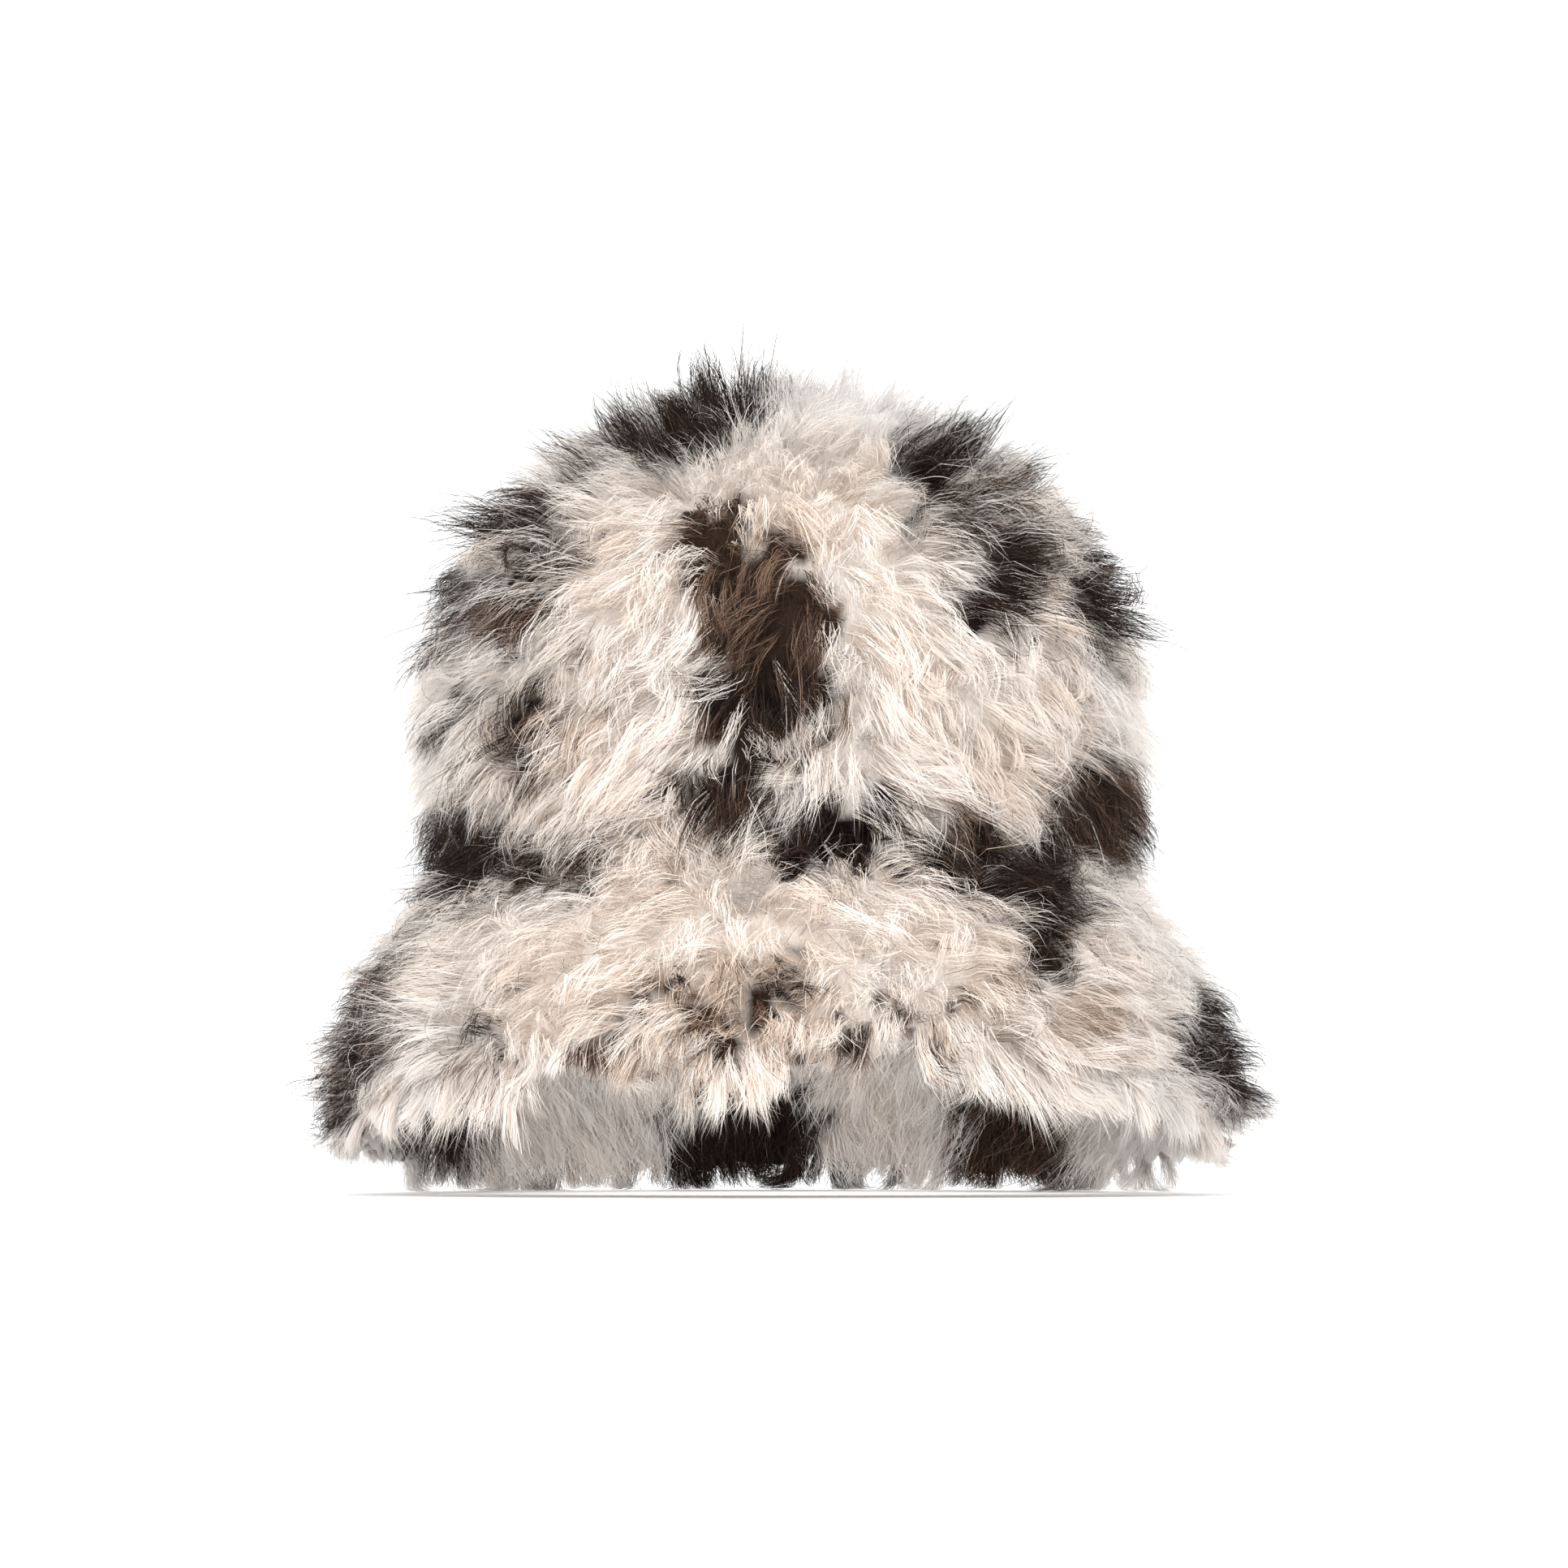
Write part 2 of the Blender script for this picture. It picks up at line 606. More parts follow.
def cut_to_hang(paths, lengths, middles, dice):
    """Shortens the locks that would hang too far below the floor."""
    across = front_view(middles)[0]
    at_side = ease((np.abs(across) - 60.0) / 45.0) * ease((70.0 - middles[:, 1] / MM) / 30.0)
    rest = (dice.uniform(*REST_HEIGHTS, len(middles)) + SIDE_REST * at_side) * MM
    hang = -paths[:, -1, 2]
    share = np.clip((middles[:, 2] - rest) / np.maximum(hang, 1e-6), SHORTEST_LOCK, 1.0)
    share = np.where(hang > 0.0, share, 1.0)[:, None]
    return paths * share[:, :, None], lengths * share


def strands_over(ground, coat, low, dice):
    """Every strand's points, side, shading normals and facts, combed into wisps and locks."""
    pile = bpy.context.scene.hat_pile
    counts = int(coat.front * pile.density), int(coat.back * pile.density)
    feet, normals, heights, in_front = ground.scattered(*counts, dice)
    roots = feet + normals * np.maximum(heights - ROOT_DEPTH * MM, 0.0)[:, None]
    count = len(roots)
    wisp, wisp_middles = gathered(roots, ground, WISP, dice)
    wisp_lock, middles = gathered(wisp_middles, ground, LOCK, dice)
    lock = wisp_lock[wisp]
    wisps = len(wisp_middles)
    lock_normals = unit(average_by(lock, len(middles), normals))
    style = styled_locks(middles, lock_normals, coat, low, pile.length_share, dice)
    paths, headings, sides = lock_paths(lock_normals, style, coat, dice)
    paths, lengths = cut_to_hang(paths, style.lengths, middles, dice)
    tight = style.tight[lock]
    wild = 1.0 + 1.1 * spots_at(middles, low)[0][lock][:, None]

    # Each wisp leans and waves its own way, and a few strands stray from theirs.
    wisp_lean = dice.normal(0.0, WISP_LEAN, (wisps, 2))
    wisp_wave = dice.normal(0.0, WISP_WAVE * MM, (wisps, 2))
    full = dice.random((wisps, 1)) < LONG_WISPS
    wisp_reach = np.where(full, 1.0, dice.uniform(*WISP_LENGTHS, (wisps, 1)))
    stray = dice.random((count, 1)) < STRAY_STRANDS
    thinning = 0.5 + 2.0 * style.upright[lock]
    reach = wisp_reach[wisp] * dice.uniform(0.5, 1.0, (count, 1)) ** thinning
    lean = wisp_lean[wisp] + dice.normal(0.0, STRAND_LEAN, (count, 2)) * np.where(stray, 2.0, 1.0)
    lean = lean * coat.loose * (1.5 - tight)
    frizz = dice.normal(0.0, STRAND_WAVE * MM * coat.loose, (count, 2)) * np.where(stray, 2.5, 1.0) * wild
    phase = dice.uniform(0.0, 1.0, (count, 1))
    shares = np.array(STRAND_PLACES)[None, :] * reach
    centres = along_paths(paths, lock, shares)
    heading = unit(along_paths(headings, lock, shares))
    side = sides[lock][:, None, :]
    side = unit(side - heading * dot(side, heading))
    over = np.cross(side, heading)

    # A strand starts at its root and closes in on the middle lines of its wisp and its lock.
    def across_lock(offsets):
        return np.concatenate((dot(offsets, sides[lock]), dot(offsets, style.ways[lock])), 1)

    wide = 1.0 - ease((shares - 0.15) / 0.9) * tight
    fine = 1.0 - ease(shares / 0.8) * np.where(stray, 0.1, 0.5 + 0.15 * wild) / coat.loose
    run = shares**1.5 * lengths[lock]
    wave = np.sin(TURN * 0.8 * shares) * shares**0.5
    wiggle = (np.sin(TURN * (1.2 * shares + phase)) - np.sin(TURN * phase)) * shares
    offsets = (
        (across_lock(wisp_middles[wisp] - middles[lock]), wide),
        (across_lock(roots - wisp_middles[wisp]), fine),
        (lean, run),
        (wisp_wave[wisp], wave),
        (frizz, wiggle),
    )
    off = sum(offset[:, None, :] * much[..., None] for offset, much in offsets)
    off_line = side * off[..., :1] + over * off[..., 1:]
    at_root = centres + (roots - middles[lock])[:, None, :]
    free = ease(shares / 0.2)[..., None]
    points = middles[lock][:, None, :] + (centres + off_line) * free + at_root * (1.0 - free)
    off_the_floor(points)

    # Shaded as soft round locks that face outward.
    roll = np.radians(dice.uniform(-ROLL, ROLL, (count, 1)))[..., None]
    flat = side * np.cos(roll) + over * np.sin(roll)
    soft = lock_normals.copy()
    faces_out = dot(lock_normals, away_from_axis(middles))[:, 0] > 0.0
    soft[:, 2] = np.where(faces_out, np.maximum(soft[:, 2], 0.0), soft[:, 2])
    round_lock = np.clip(off_line / (LOCK * MM * 0.5), -1.0, 1.0)
    looks = unit(soft)[lock][:, None, :] - over * 0.1 + round_lock * 0.07
    looks = unit(looks + dice.normal(0.0, 0.04, (count, 1, 3)))
    seen = points[:, -1] * 0.1 + points[:, -2] * 0.9
    facts = dict(seen=seen, wisp=wisp, wisps=wisps, told=style.told[lock], in_front=in_front)
    facts["on_tip"] = feet[:, 2] > TIP_SEAM_HEIGHT * MM
    return points, flat, looks, facts


# The spots


def inside_spots(across, height, spots, warp):
    """How sure each place is to be dark, from 0 to 1, and how brown it is there."""
    sure = np.zeros(len(across))
    brown = np.zeros(len(across))
    for row in spots:
        spot = Spot(*row)
        lean = math.radians(spot.lean)
        aside, above = across - spot.across, height - spot.height
        x = aside * math.cos(lean) + above * math.sin(lean)
        y = above * math.cos(lean) - aside * math.sin(lean)
        far = np.hypot(x / (spot.half_width + OVERHANG), y / (spot.half_height + OVERHANG))
        edge = 3.5 / min(spot.half_width, spot.half_height)
        value = spot.solid / 100 * (1.0 - ease((far + warp * edge - 1.0 + edge * 0.5) / edge))
        better = value > sure
        sure = np.where(better, value, sure)
        brown = np.where(better, spot.brown / 100, brown)
    return sure, brown


def front_view(points):
    """Across and height, in millimetres, where the front view shows each point."""
    studio = bpy.context.scene.hat_studio
    nearer = studio.distance / (studio.distance + points[:, 1])
    height = studio.eye_height + (points[:, 2] - studio.eye_height) * nearer
    return points[:, 0] * nearer / MM, height / MM


def spots_at(seen, low):
    """How sure the pile is to be dark at each place, how brown it is there, and how warm where it is pale."""
    warp = 0.8 * drift(seen, 17.0, 5) + 0.7 * drift(seen, 7.0, 6)
    across, height = front_view(seen)
    y = seen[:, 1] / MM
    front, front_brown = inside_spots(across, height, FRONT_SPOTS, warp)
    if low:
        under = inside_spots(across, height, UNDER_SPOTS, warp)
        sure, brown = np.where(y > 0.0, under, (front, front_brown))
        warmer = -0.35 * (y > 0.0)
    else:
        away = away_from_axis(seen)
        around = np.arctan2(-away[:, 0], away[:, 1]) * BACK_RADIUS
        back, back_brown = inside_spots(around, seen[:, 2] / MM, BACK_SPOTS, warp * 2.4)
        ragged = 14.0 * drift(seen, 26.0, 16) + 6.0 * drift(seen, 9.0, 17)
        front = front * ease((6.0 + 1.3 * ragged - y) / BACK_FADE)
        back = back * ease((y + ragged + 6.0) / BACK_FADE)
        sure = np.maximum(front, back)
        brown = np.where(front >= back, front_brown, back_brown)
        warmer = inside_spots(across, height, TAN_SPOTS, warp)[0] * (y < 0.0)

    # Pale pile is mottled, with single tan wisps, and greyer near the top and the sides.
    warm = 0.57 + 0.14 * drift(seen, 40.0, 8) + 0.16 * drift(seen, 9.0, 9)
    warm = warm + 0.5 * ease((drift(seen, 7.0, 15) - 0.9) / 0.5)
    warm = warm - 0.5 * ease((height - 205.0) / 35.0) - 0.3 * ease((np.abs(across) - 85.0) / 20.0)
    return sure, brown, warm + warmer


def add_colouring(points, facts, low, narrowest, dice):
    """Adds to the facts how dark each strand is at its points, its warmth, its chance and its width."""
    sure, brown, warm = spots_at(facts["seen"], low)
    count = len(sure)
    chance = dice.random(facts["wisps"])[facts["wisp"]] * 0.4 + dice.random(count) * 0.6
    told = facts["told"]
    sure = np.where(np.isnan(told), sure, 0.04 + 0.92 * np.nan_to_num(told))
    dark = chance < sure * 1.1 - 0.02
    brown = np.where(told == 1.0, 0.1, brown) + 0.35 * (1.0 - sure) + dice.normal(0.0, 0.28, count)
    warm = warm + dice.normal(0.0, 0.1, count)
    darks = np.repeat(dark[:, None].astype(float), points.shape[1], 1)
    for place in (0, 1):
        here = ease((spots_at(points[:, place], low)[0] - 0.1) / 0.3)
        darks[:, place] *= np.where(told == 1.0, 1.0, here)
    facts["dark"] = darks
    facts["warmth"] = np.clip(np.where(dark, brown, warm), 0.0, 1.0)
    facts["chance"] = dice.random(count)
    facts["width"] = dice.uniform(narrowest, 1.2, count)


# Strands as one mesh


def add_attributes(mesh, values):
    """Keeps values of a mesh's points as attributes, which the materials read."""
    for fact, value in values.items():
        layer = mesh.attributes.new(fact, "FLOAT", "POINT")
        layer.data.foreach_set("value", value.ravel().astype(np.float32))


def strand_mesh(name, points, flat, looks, width, facts):
    """Joins all strands into one mesh of tapering ribbons, with their facts as attributes."""
    count, places = points.shape[:2]
    levels = places - 1
    if places == len(STRAND_PLACES):
        shades, widths = STRAND_PLACES, STRAND_WIDTHS
    else:
        shades, widths = np.linspace(0.5, 1.0, places), (1.0,) * (levels - 1) + (0.7,)
    # A ribbon has two corners at each place and one at its tip.
    corners_at = [2] * levels + [1]
    size = 2 * levels + 1
    half = width * 0.5 * np.array([*widths, 0.0])[None, :, None] * flat
    half = half * facts["width"][:, None, None]
    turns = np.array([-1.0, 1.0] * levels + [0.0])[None, :, None]
    verts = np.repeat(points, corners_at, 1) + np.repeat(half, corners_at, 1) * turns
    quads = [low + corner for low in range(0, size - 3, 2) for corner in (0, 2, 3, 1)]
    corners = np.array([*quads, size - 3, size - 1, size - 2])
    strands = np.arange(count)[:, None]
    loops = (corners + strands * size).ravel()
    starts = (np.arange(levels) * 4 + strands * len(corners)).ravel()

    mesh = bpy.data.meshes.new(name)
    mesh.vertices.add(count * size)
    mesh.vertices.foreach_set("co", verts.ravel().astype(np.float32))
    mesh.loops.add(len(loops))
    mesh.loops.foreach_set("vertex_index", loops.astype(np.int32))
    mesh.polygons.add(len(starts))
    mesh.polygons.foreach_set("loop_start", starts.astype(np.int32))
    mesh.update(calc_edges=True)
    mesh.shade_smooth()
    along = np.repeat(shades, corners_at)
    values = {"along": np.tile(along, (count, 1)), "dark": np.repeat(facts["dark"], corners_at, 1)}
    for fact in ("warmth", "chance"):
        values[fact] = np.repeat(facts[fact][:, None], size, 1)
    add_attributes(mesh, values)

    # Each strand has a cell of its own in the baking map, where it keeps its width to the tip.
    cells = math.ceil(math.sqrt(count))
    across = np.array([0.25, 0.75] * levels + [0.5])
    up = 0.1 + 0.8 * along
    u = (strands % cells + across[corners]) / cells
    v = (strands // cells + up[corners]) / cells
    layer = mesh.uv_layers.new(name="OFBake")
    layer.data.foreach_set("uv", np.stack((u, v), -1).ravel().astype(np.float32))

    # Shaded as a soft rounded mass, not as flat ribbons.
    mesh.normals_split_custom_set_from_vertices(np.repeat(looks, corners_at, 1).reshape(-1, 3))
    return mesh


def add_object(name, data):
    """Adds an object to the scene."""
    made = bpy.data.objects.new(name, data)
    bpy.context.scene.collection.objects.link(made)
    return made


def finish_piece(name, mesh, slot, *nodes):
    """Adds a mesh as a piece of the hat, in place of some nodes of the CAD model."""
    piece = add_object(name, mesh)
    mesh.materials.append(bpy.data.materials.get("fur " + slot) or pile_material(slot))
    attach(piece, "root")
    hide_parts(*nodes)


def undercoat(name, surface, ground, low, slot, *nodes):
    """The dense short pile under the strands, as a closed skin over the cloth."""
    lifted = ground.places + ground.normals * ground.heights[:, None]
    lifted[:, 2] -= np.minimum(ground.hem, np.maximum(lifted[:, 2] - 4.0 * MM, 0.0))
    off_the_floor(lifted)
    for vert, place in zip(surface.verts, lifted):
        vert.co = place
    mesh = bpy.data.meshes.new(name)
    surface.to_mesh(mesh)
    mesh.shade_smooth()
    sure, brown, warm = spots_at(lifted + ground.normals * 0.004, low)
    dark = ease((sure - 0.3) / 0.35)
    same = np.ones(len(lifted))
    warmth = np.clip(np.where(dark > 0.5, brown * 0.5, warm), 0.0, 1.0)
    values = dict(dark=dark, warmth=warmth, along=same * UNDERCOAT_SHADE, chance=same * 0.5, matted=same)
    add_attributes(mesh, values)
    finish_piece(name, mesh, slot, *nodes)


def grow(surface, coat, pieces, low=False):
    """Grows the pile of one surface.

    pieces has names, slots, replaced nodes, and if the strands are on the tip and in front (None: either).
    """
    dice = np.random.default_rng(coat.seed)
    ground = Ground(surface, coat)
    points, flat, looks, facts = strands_over(ground, coat, low, dice)
    add_colouring(points, facts, low, 0.75, dice)
    width = bpy.context.scene.hat_pile.strand_width
    for name, slot, replaced, on_tip, in_front in pieces:
        part = facts["on_tip"] == on_tip
        if in_front is not None:
            part = part & (facts["in_front"] == in_front)
        own = {key: facts[key][part] for key in ("dark", "warmth", "chance", "width")}
        mesh = strand_mesh(name, points[part], flat[part], looks[part], width, own)
        finish_piece(name, mesh, slot, replaced)
    return ground


def add_strays(name, ground, coat, counts, slot, replaced):
    """Adds curly single hairs over one surface as a piece."""
    dice = np.random.default_rng(coat.seed + 1)
    feet, normals, heights, _ = ground.scattered(*counts, dice)
    count = len(feet)
    here = feet + normals * (heights + STRAY_LIFT * MM)[:, None]
    ways = combed(here, normals, coat)
    heading = unit(normals * 0.8 + ways * 0.9 + dice.normal(0.0, 0.4, (count, 3)))
    turning = dice.normal(0.0, STRAY_TURN, (count, 3)) / STRAY_STEPS
    lengths = dice.uniform(*STRAY_LENGTHS, (count, 1)) * MM
    places, headings = [here], [heading]
    for step in range(STRAY_STEPS):
        heading = heading + np.cross(turning * (0.4 + 1.2 * step / STRAY_STEPS), heading)
        heading = unit(heading + DOWN * 0.06)
        here = here + heading * lengths / STRAY_STEPS
        places.append(here)
        headings.append(heading)
    points, headings = np.stack(places, 1), np.stack(headings, 1)
    off_the_floor(points)
    flat = unit(np.cross(headings, dice.normal(size=(count, 1, 3))))
    looks = np.repeat(unit(normals + headings[:, 2] * 0.2)[:, None, :], STRAY_STEPS + 1, 1)
    facts = dict(seen=points[:, 0], wisp=np.arange(count), wisps=count, told=np.full(count, np.nan))
    add_colouring(points, facts, False, 0.8, dice)
    mesh = strand_mesh(name, points, flat, looks, STRAY_WIDTH, facts)
    finish_piece(name, mesh, slot, replaced)


# Materials

NUMBER = "NodeSocketFloat"
COLOUR = "NodeSocketColor"


def feed(tree, node, inputs):
    """Sets a node's inputs, each to a value or to the output that feeds it."""
    for name, value in inputs.items():
        if isinstance(value, bpy.types.NodeSocket):
            tree.links.new(value, node.inputs[name])
        else:
            node.inputs[name].default_value = value


def add_node(tree, kind, inputs, **settings):
    """Adds a node with its settings and inputs, and gives its outputs."""
    node = tree.nodes.new(kind)
    for name, value in settings.items():
        setattr(node, name, value)
    feed(tree, node, inputs)
    return node.outputs


def ranged(tree, value, low, high, to_low=0.0, to_high=1.0, **settings):
    """A value mapped from one range to another."""
    inputs = {"Value": value, "From Min": low, "From Max": high, "To Min": to_low, "To Max": to_high}
    return add_node(tree, "ShaderNodeMapRange", inputs, **settings)["Result"]


def blended(tree, factor, a, b):
    """A colour between two others."""
    return add_node(tree, "ShaderNodeMix", {"Factor": factor, "A": a, "B": b}, data_type="RGBA")["Result"]


def new_group(name, inputs, outputs):
    """An empty node group with its sockets, what it takes and the node that gives its results."""
    group = bpy.data.node_groups.new(name, "ShaderNodeTree")
    for in_out, sockets in (("INPUT", inputs), ("OUTPUT", outputs)):
        for socket, kind in sockets.items():
            group.interface.new_socket(socket, in_out=in_out, socket_type=kind)
    return group, group.nodes.new("NodeGroupInput").outputs, group.nodes.new("NodeGroupOutput")


def new_material(name):
    """A material and its node tree."""
    material = bpy.data.materials.new(name)
    material.use_nodes = True
    return material, material.node_tree


def strand_tone_group():
    """The colour of a strand from root to tip: shaded at the root, full colour by its middle."""
    inputs = {"Root": COLOUR, "Tip": COLOUR, "Along": NUMBER, "Chance": NUMBER}
    group, taken, given = new_group("Strand tone", inputs, {"Color": COLOUR})
    rise = ranged(group, taken["Along"], 0.05, 0.72, interpolation_type="SMOOTHSTEP")
    blend = blended(group, rise, taken["Root"], taken["Tip"])
    value = ranged(group, taken["Chance"], 0.0, 1.0, 0.95, 1.01)
    tint = add_node(group, "ShaderNodeHueSaturation", {"Value": value, "Color": blend})
    feed(group, given, {"Color": tint["Color"]})
    return group


def matted_group():
    """Fine combed fibre for the undercoat: a light and dark pattern that runs down the hat."""
    inputs = {"Matted": NUMBER, "Chance": NUMBER}
    group, taken, given = new_group("Matted fibre", inputs, {"Chance": NUMBER, "Height": NUMBER})
    place = add_node(group, "ShaderNodeTexCoord", {})["Object"]
    stretch = add_node(group, "ShaderNodeMapping", {"Vector": place, "Scale": (1.0, 1.0, 0.22)})
    inputs = {"Vector": stretch["Vector"], "Scale": 900.0, "Detail": 3.0, "Distortion": 1.2}
    fibre = add_node(group, "ShaderNodeTexNoise", inputs)
    spread = ranged(group, fibre["Fac"], 0.3, 0.7, -0.8, 1.4)
    inputs = {"Factor": taken["Matted"], "A": taken["Chance"], "B": spread}
    choice = add_node(group, "ShaderNodeMix", inputs)
    height = add_node(group, "ShaderNodeMath", {0: taken["Matted"], 1: spread}, operation="MULTIPLY")
    feed(group, given, {"Chance": choice["Result"], "Height": height["Value"]})
    return group


def pile_material(slot):
    """Fine fibre that scatters light and lets some through, cream or dark as its attributes say."""
    colours = bpy.context.scene.hat_colours
    matted = bpy.data.node_groups.get("Matted fibre") or matted_group()
    strand_tone = bpy.data.node_groups.get("Strand tone") or strand_tone_group()
    material, tree = new_material("fur " + slot)
    facts = {}
    for fact in ("along", "dark", "warmth", "chance", "matted"):
        facts[fact] = add_node(tree, "ShaderNodeAttribute", {}, attribute_name=fact)["Fac"]
    inputs = {"Matted": facts["matted"], "Chance": facts["chance"]}
    fibre = add_node(tree, "ShaderNodeGroup", inputs, node_tree=matted)

    def toned(root, tip, shade=1.0):
        inputs = {
            "Root": (*[shade * value for value in root], 1.0),
            "Tip": (*tip, 1.0),
            "Along": facts["along"],
            "Chance": fibre["Chance"],
        }
        return add_node(tree, "ShaderNodeGroup", inputs, node_tree=strand_tone)["Color"]

    cream = toned(colours.cream_root, colours.cream_tip)
    cool = toned(colours.cool_tip, colours.cool_tip, 0.82)
    tan = toned(colours.cream_root, colours.tan, 0.8)
    black = toned(colours.black, colours.black)
    brown = toned(colours.brown, colours.brown, 0.6)
    frizz = toned(colours.brown, colours.frizz)
    warmest = ranged(tree, facts["warmth"], 0.62, 1.0)
    pale = blended(tree, ranged(tree, facts["warmth"], 0.5, 0.0), cream, cool)
    pale = blended(tree, warmest, pale, tan)
    dark = blended(tree, ranged(tree, facts["warmth"], 0.0, 0.5), black, brown)
    dark = blended(tree, warmest, dark, frizz)
    colour = blended(tree, facts["dark"], pale, dark)
    inputs = {"Strength": 0.6, "Distance": 0.0008, "Height": fibre["Height"]}
    normal = add_node(tree, "ShaderNodeBump", inputs)["Normal"]
    shader = tree.nodes["Principled BSDF"]
    inputs = {"Base Color": colour, "Normal": normal, "Roughness": 0.6, "Specular IOR Level": 0.04}
    feed(tree, shader, inputs)
    through = add_node(tree, "ShaderNodeBsdfTranslucent", {"Color": colour})
    inputs = {"Fac": 0.5, 1: shader.outputs["BSDF"], 2: through["BSDF"]}
    mixed = add_node(tree, "ShaderNodeMixShader", inputs)
    feed(tree, tree.nodes["Material Output"], {"Surface": mixed["Shader"]})
    return material


def knit_material():
    """The knitted backing: fine ribs and a little unevenness."""
    knit = bpy.context.scene.hat_colours.knit
    material, tree = new_material("knitted backing")
    place = add_node(tree, "ShaderNodeTexCoord", {})["Object"]
    inputs = {"Vector": place, "Scale": 220.0, "Distortion": 1.5}
    ribs = add_node(tree, "ShaderNodeTexWave", inputs, wave_type="RINGS", rings_direction="Z")
    uneven = add_node(tree, "ShaderNodeTexNoise", {"Vector": place, "Scale": 90.0})
    ramp = tree.nodes.new("ShaderNodeValToRGB")
    ramp.color_ramp.elements[0].color = (*[value * 0.7 for value in knit], 1.0)
    ramp.color_ramp.elements[1].color = (*knit, 1.0)
    feed(tree, ramp, {"Fac": uneven["Fac"]})
    inputs = {"Strength": 0.4, "Distance": 0.0004, "Height": ribs["Fac"]}
    normal = add_node(tree, "ShaderNodeBump", inputs)["Normal"]
    inputs = {"Base Color": ramp.outputs["Color"], "Normal": normal, "Roughness": 0.9}
    feed(tree, tree.nodes["Principled BSDF"], inputs)
    return material


# Operators


class HAT_OT_crown_pile(bpy.types.Operator):
    """Grow the pile over the crown's tip and side"""

    bl_idname = "hat.crown_pile"
    bl_label = "Crown pile"

    def execute(self, context):
        surface = outer_surface(("crown_side_cloth", "crown_tip_cloth"), 30.0, 0.3)
        side = "crown_side_pile", "crown_side_fur"
        pieces = (
            ("crown_tip_pile", "crown_tip_pile", "crown_tip_fur", True, None),
            ("crown_front_pile", *side, False, True),
            ("crown_back_pile", *side, False, False),
        )
        ground = grow(surface, CROWN_COAT, pieces)
        undercoat("crown_undercoat", surface, ground, False, *side)
        add_strays("crown_stray_hairs", ground, CROWN_COAT, CROWN_STRAYS, *side)
        surface.free()
        return {"FINISHED"}


class HAT_OT_brim_pile(bpy.types.Operator):
    """Grow the pile over and under the brim and at its edge"""

    bl_idname = "hat.brim_pile"
    bl_label = "Brim pile"

    def execute(self, context):
        top = "brim_top_pile", "brim_top_fur"
        under = "brim_under_pile", "brim_under_fur"
        surface = outer_surface(("brim_cloth",), 30.0, 0.0)
        pieces = (
            ("brim_front_pile", *top, False, True),
            ("brim_back_pile", *top, False, False),
        )
        ground = grow(surface, BRIM_COAT, pieces)
        undercoat("brim_undercoat", surface, ground, False, *top)
        add_strays("brim_stray_hairs", ground, BRIM_COAT, BRIM_STRAYS, *top)
        surface.free()
        surface = outer_surface(("brim_cloth",), 210.0, 0.5)
        ground = grow(surface, UNDER_COAT, (("brim_underside_pile", *under, False, None),), low=True)
        undercoat("brim_underside_undercoat", surface, ground, True, *under)
        surface.free()
        surface = outer_surface(("brim_cloth",), -45.0, 0.78)
        grow(surface, FRINGE_COAT, (("brim_fringe", *top, False, None),), low=True)
        surface.free()
        return {"FINISHED"}


class HAT_OT_backing(bpy.types.Operator):
    """Give the cloth panels their knitted finish"""

    bl_idname = "hat.backing"
    bl_label = "Knitted backing"

    def execute(self, context):
        material = knit_material()
        for node in ("crown_tip_cloth", "crown_side_cloth", "brim_cloth"):
            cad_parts[node].material_slots[0].material = material
        return {"FINISHED"}


def add_soft_box(name, place, aim, width, height, power):
    """Adds a rectangular light that shines at a place."""
    data = bpy.data.lights.new(name, "AREA")
    data.shape = "RECTANGLE"
    data.size = width
    data.size_y = height
    data.energy = power
    light = add_object(name, data)
    light.location = place
    light.rotation_euler = (Vector(aim) - Vector(place)).to_track_quat("-Z", "Y").to_euler()


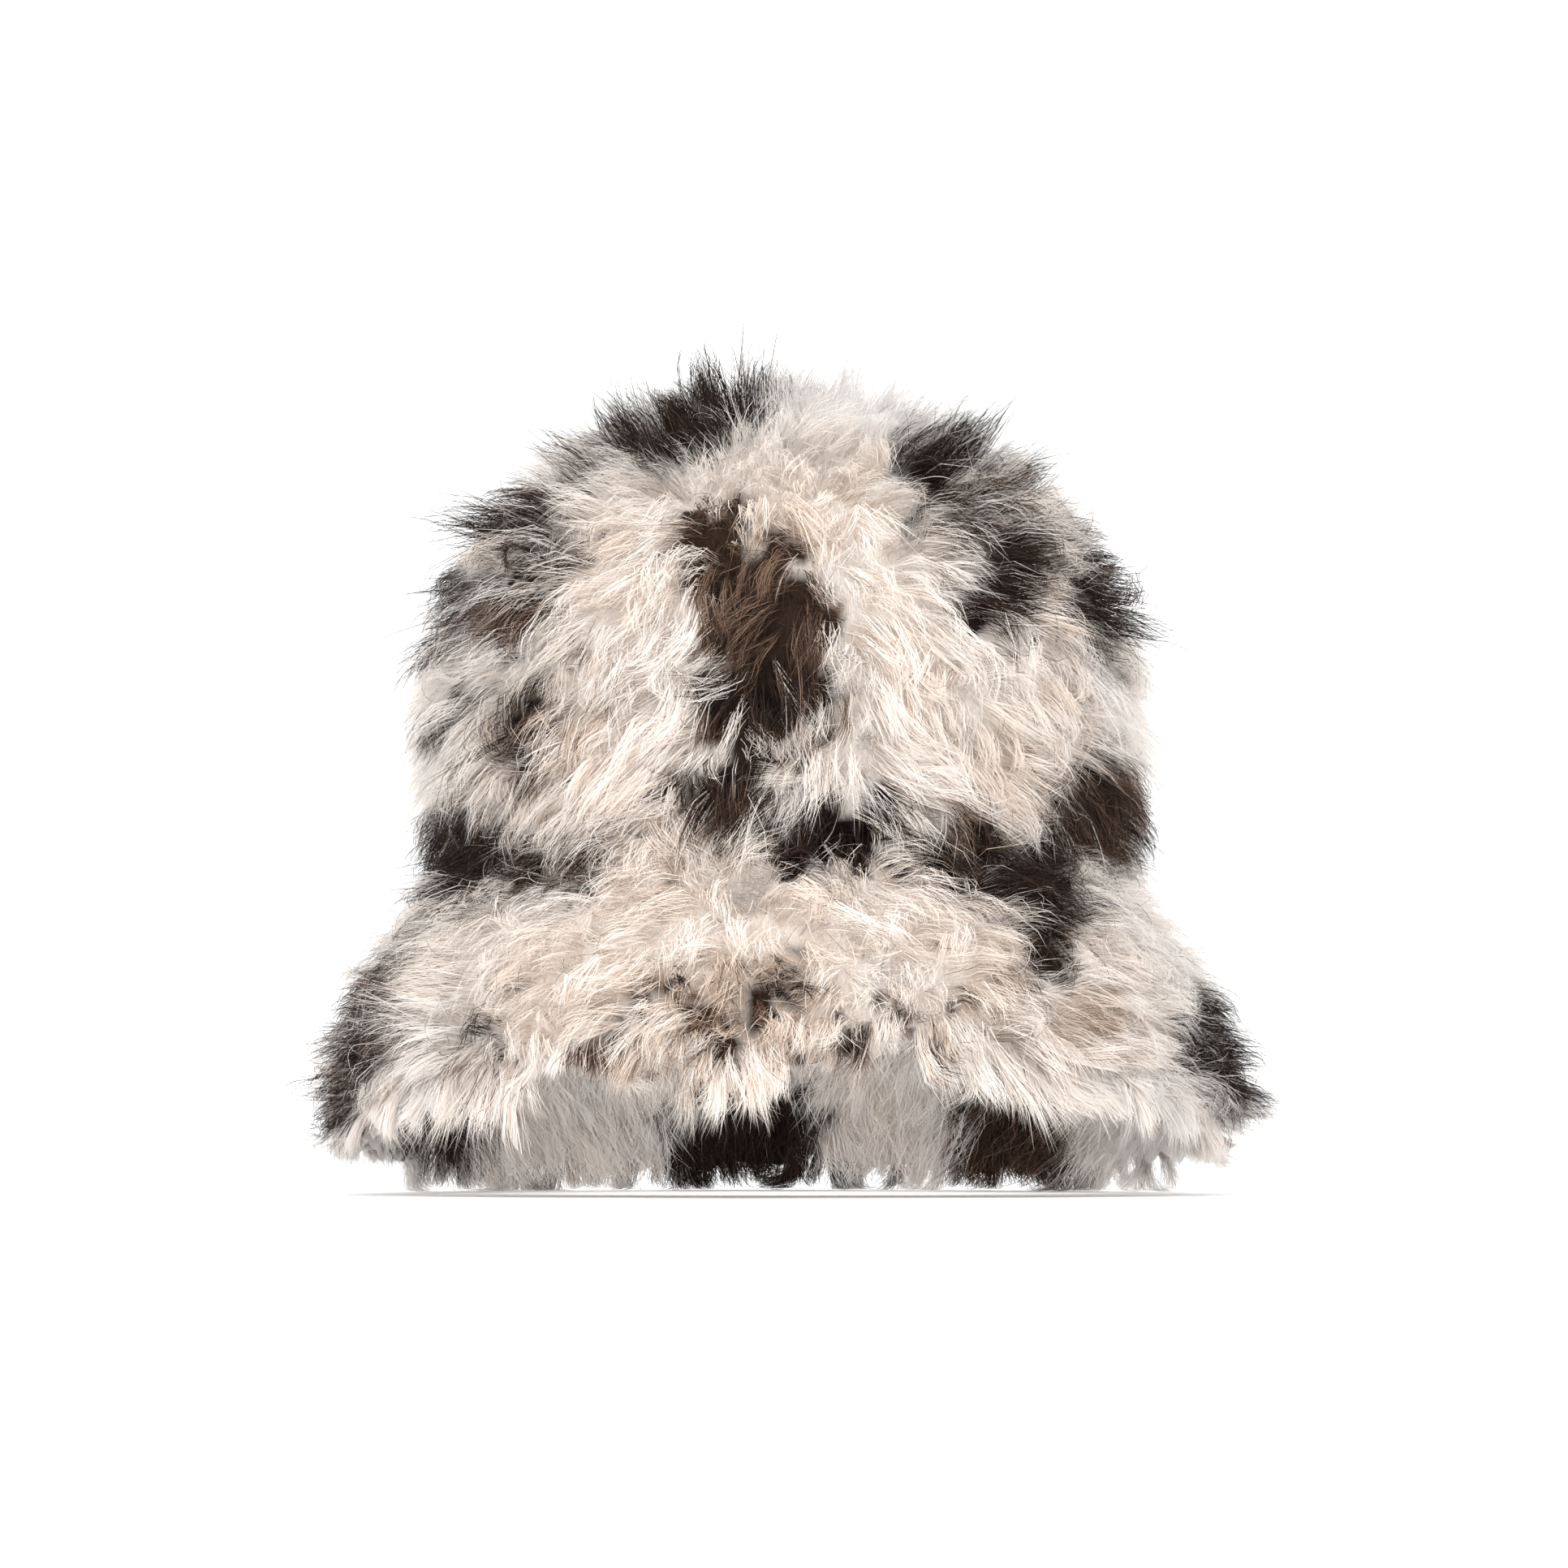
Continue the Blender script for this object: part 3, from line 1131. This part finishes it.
class HAT_OT_studio(bpy.types.Operator):
    """Set up the floor, the soft lights and the camera"""

    bl_idname = "hat.studio"
    bl_label = "Studio"

    def execute(self, context):
        studio = context.scene.hat_studio
        bm = bmesh.new()
        bmesh.ops.create_grid(bm, x_segments=1, y_segments=1, size=FLOOR_REACH)
        mesh = bpy.data.meshes.new("studio_floor")
        bm.to_mesh(mesh)
        bm.free()
        floor = add_object("studio_floor", mesh)
        white, tree = new_material("studio white")
        inputs = {"Base Color": (*studio.white, 1.0), "Roughness": 1.0, "Specular IOR Level": 0.0}
        feed(tree, tree.nodes["Principled BSDF"], inputs)
        mesh.materials.append(white)

        world = bpy.data.worlds.new("studio air")
        context.scene.world = world
        world.use_nodes = True
        inputs = {"Color": (1.0, 1.0, 1.0, 1.0), "Strength": AIR_LIGHT}
        feed(world.node_tree, world.node_tree.nodes["Background"], inputs)
        aim = (0.0, 0.0, studio.aim_height)
        add_soft_box("key", (-0.2, -1.6, 1.7), aim, width=3.6, height=1.6, power=40.0)
        add_soft_box("front", (0.0, -1.9, 0.12), (0.0, 0.0, 0.06), width=3.2, height=0.22, power=24.0)
        add_soft_box("inner", (0.0, -0.01, 0.085), (0.0, 0.14, 0.0), width=0.10, height=0.03, power=0.17)

        data = bpy.data.cameras.new("camera")
        camera = add_object("camera", data)
        depth = math.sqrt(studio.distance**2 - (studio.aim_height - studio.eye_height) ** 2)
        camera.location = (0.0, -depth, studio.eye_height)
        look = Vector(aim) - camera.location
        camera.rotation_euler = look.to_track_quat("-Z", "Y").to_euler()
        data.sensor_width = SENSOR_WIDTH
        data.lens = SENSOR_WIDTH * studio.distance / studio.view_width
        data.clip_start = 0.01
        context.scene.camera = camera
        context.scene.view_settings.view_transform = "Standard"
        return {"FINISHED"}


class HAT_PT_panel(bpy.types.Panel):
    """Lists the steps that dress the hat"""

    bl_label = "Fur Hat"
    bl_idname = "HAT_PT_panel"
    bl_space_type = "VIEW_3D"
    bl_region_type = "UI"
    bl_category = "Fur Hat"

    def draw(self, context):
        for group in (context.scene.hat_pile, context.scene.hat_colours, context.scene.hat_studio):
            box = self.layout.box()
            for name in group.__annotations__:
                box.prop(group, name)
        for step in STEPS:
            self.layout.operator(step.bl_idname)


STEPS = (HAT_OT_studio, HAT_OT_backing, HAT_OT_crown_pile, HAT_OT_brim_pile)
CLASSES = (HatPile, HatColours, HatStudio, *STEPS, HAT_PT_panel)


def register():
    for cls in CLASSES:
        bpy.utils.register_class(cls)
    bpy.types.Scene.hat_pile = bpy.props.PointerProperty(type=HatPile)
    bpy.types.Scene.hat_colours = bpy.props.PointerProperty(type=HatColours)
    bpy.types.Scene.hat_studio = bpy.props.PointerProperty(type=HatStudio)


def unregister():
    del bpy.types.Scene.hat_studio
    del bpy.types.Scene.hat_colours
    del bpy.types.Scene.hat_pile
    for cls in reversed(CLASSES):
        bpy.utils.unregister_class(cls)


def main():
    register()
    bpy.ops.hat.studio()
    bpy.ops.hat.backing()
    bpy.ops.hat.crown_pile()
    bpy.ops.hat.brim_pile()


if __name__ == "__main__":
    main()
